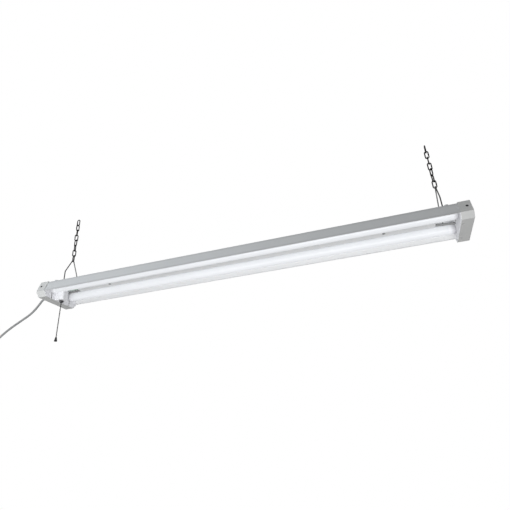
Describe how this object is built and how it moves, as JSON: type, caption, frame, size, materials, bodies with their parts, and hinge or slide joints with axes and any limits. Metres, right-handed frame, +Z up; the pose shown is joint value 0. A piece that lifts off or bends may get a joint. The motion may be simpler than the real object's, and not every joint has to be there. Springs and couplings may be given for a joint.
{
  "type": "hanging grow lamp",
  "caption": "Long hanging grow lamp: flared steel hood with moulded end caps, side-by-side tubes, pull-chain switch, wire hangers on link chains and a grey mains cord.",
  "frame": {"origin": "midway between the two chains, at the height where the left chain's top link bears on its ceiling hook", "axes": "+X along the lamp away from the cord and pull switch, +Y across it, +Z up"},
  "size_m": [1.5799, 0.1516, 0.576],
  "materials": {
    "hood_paint": "satin white powder coat",
    "cap_plastic": "fine moulded texture",
    "dark_screw": "black oxide",
    "zinc_steel": "bright zinc plate",
    "driver_case": "white enamel",
    "lead_insulation": "smooth PVC",
    "lamp_lead_insulation": "smooth PVC",
    "wire_nut_plastic": "moulded",
    "ground_green": "green dye",
    "holder_plastic": "moulded",
    "rotor_plastic": "moulded",
    "frosted_tube": "frosted diffuser",
    "collar_plastic": "moulded",
    "pin_metal": "tinned",
    "sink_aluminium": "extruded",
    "board_white": "solder mask",
    "switch_black": "moulded",
    "bushing_metal": "blackened",
    "bead_metal": "nickel plate",
    "bell_black": "moulded",
    "hanger_wire": "grey zinc",
    "chain_metal": "grey zinc",
    "relief_rubber": "moulded",
    "cord_jacket": "smooth grey PVC",
    "tie_plastic": "moulded",
    "plug_rubber": "moulded",
    "prong_brass": "bright"
  },
  "bodies": {
    "ceiling_links": {"chain_left_7": "chain_metal", "chain_left_8": "chain_metal", "chain_right_7": "chain_metal"},
    "sway_links": {"chain_left_6": "chain_metal", "chain_right_6": "chain_metal"},
    "left_hanger": {"chain_left_1": "chain_metal", "chain_left_2": "chain_metal", "chain_left_3": "chain_metal", "chain_left_4": "chain_metal", "chain_left_5": "chain_metal", "hanger_left": "hanger_wire"},
    "right_hanger": {"chain_right_1": "chain_metal", "chain_right_2": "chain_metal", "chain_right_3": "chain_metal", "chain_right_4": "chain_metal", "chain_right_5": "chain_metal", "hanger_right": "hanger_wire"},
    "near_tube": {"tube_near_lens": "frosted_tube", "tube_near_collars": "collar_plastic", "tube_near_pins": "pin_metal", "tube_near_rotors": "rotor_plastic", "tube_near_heat_sink": "sink_aluminium", "tube_near_led_board": "board_white"},
    "far_tube": {"tube_far_lens": "frosted_tube", "tube_far_collars": "collar_plastic", "tube_far_pins": "pin_metal", "tube_far_rotors": "rotor_plastic", "tube_far_heat_sink": "sink_aluminium", "tube_far_led_board": "board_white"},
    "pull_plunger": {"pull_plunger": "bushing_metal"},
    "pull_link": {"pull_link": "bead_metal"},
    "pull_chain": {"bead_chain": "bead_metal", "chain_bell": "bell_black"},
    "housing": {"hood": "hood_paint", "channel_cover": "hood_paint", "end_cap_left": "cap_plastic", "end_cap_right": "cap_plastic", "end_cap_screws": "dark_screw", "cover_brackets": "zinc_steel", "cover_screws": "zinc_steel", "driver_screws": "zinc_steel", "lampholder_screws": "zinc_steel", "led_driver": "driver_case", "supply_leads": "lead_insulation", "lamp_leads": "lamp_lead_insulation", "wire_nuts": "wire_nut_plastic", "ground_screw": "ground_green", "switch_body": "switch_black", "switch_bushing": "bushing_metal", "strain_relief": "relief_rubber", "mains_cord": "cord_jacket", "cord_coil": "cord_jacket", "coil_tie": "tie_plastic", "plug_body": "plug_rubber", "plug_prongs": "prong_brass", "lampholder_near_left": "holder_plastic", "lampholder_near_right": "holder_plastic", "lampholder_far_left": "holder_plastic", "lampholder_far_right": "holder_plastic"}
  },
  "joints": [
    {"name": "sway_across", "type": "hinge", "parent": "ceiling_links", "child": "sway_links", "pos_m": [0, 0, -0.0374], "axis": [1, 0, 0], "range_deg": [-12, 12]},
    {"name": "swing_along", "type": "hinge", "parent": "sway_links", "child": "left_hanger", "pos_m": [-0.5723, 0, -0.0569], "axis": [0, 1, 0], "range_deg": [-12, 12]},
    {"name": "right_hanger_swing", "type": "hinge", "parent": "sway_links", "child": "right_hanger", "pos_m": [0.5723, 0, -0.0569], "axis": [0, 1, 0], "range_deg": [-12, 12]},
    {"name": "housing_level", "type": "hinge", "parent": "left_hanger", "child": "housing", "pos_m": [-0.5723, 0, -0.25105], "axis": [0, 1, 0], "range_deg": [-12, 12]},
    {"name": "near_tube_twist", "type": "hinge", "parent": "housing", "child": "near_tube", "pos_m": [0, -0.0404, -0.26735], "axis": [1, 0, 0], "range_deg": [0, 90]},
    {"name": "far_tube_twist", "type": "hinge", "parent": "housing", "child": "far_tube", "pos_m": [0, 0.0404, -0.26735], "axis": [1, 0, 0], "range_deg": [0, 90]},
    {"name": "switch_pull", "type": "slide", "parent": "housing", "child": "pull_plunger", "axis": [0, 0, -1], "range_m": [0, 0.008], "stiffness_N_per_m": 400, "springref_m": -0.003},
    {"name": "chain_swing_across", "type": "hinge", "parent": "pull_plunger", "child": "pull_link", "pos_m": [-0.586, -0.0113, -0.30565], "axis": [1, 0, 0], "range_deg": [-25, 25]},
    {"name": "chain_swing_along", "type": "hinge", "parent": "pull_link", "child": "pull_chain", "pos_m": [-0.586, -0.0113, -0.30945], "axis": [0, 1, 0], "range_deg": [-25, 25]}
  ],
  "couplings": [
    {"joint": "right_hanger_swing", "follows": "swing_along", "ratio": 1},
    {"joint": "housing_level", "follows": "swing_along", "ratio": -1}
  ]
}
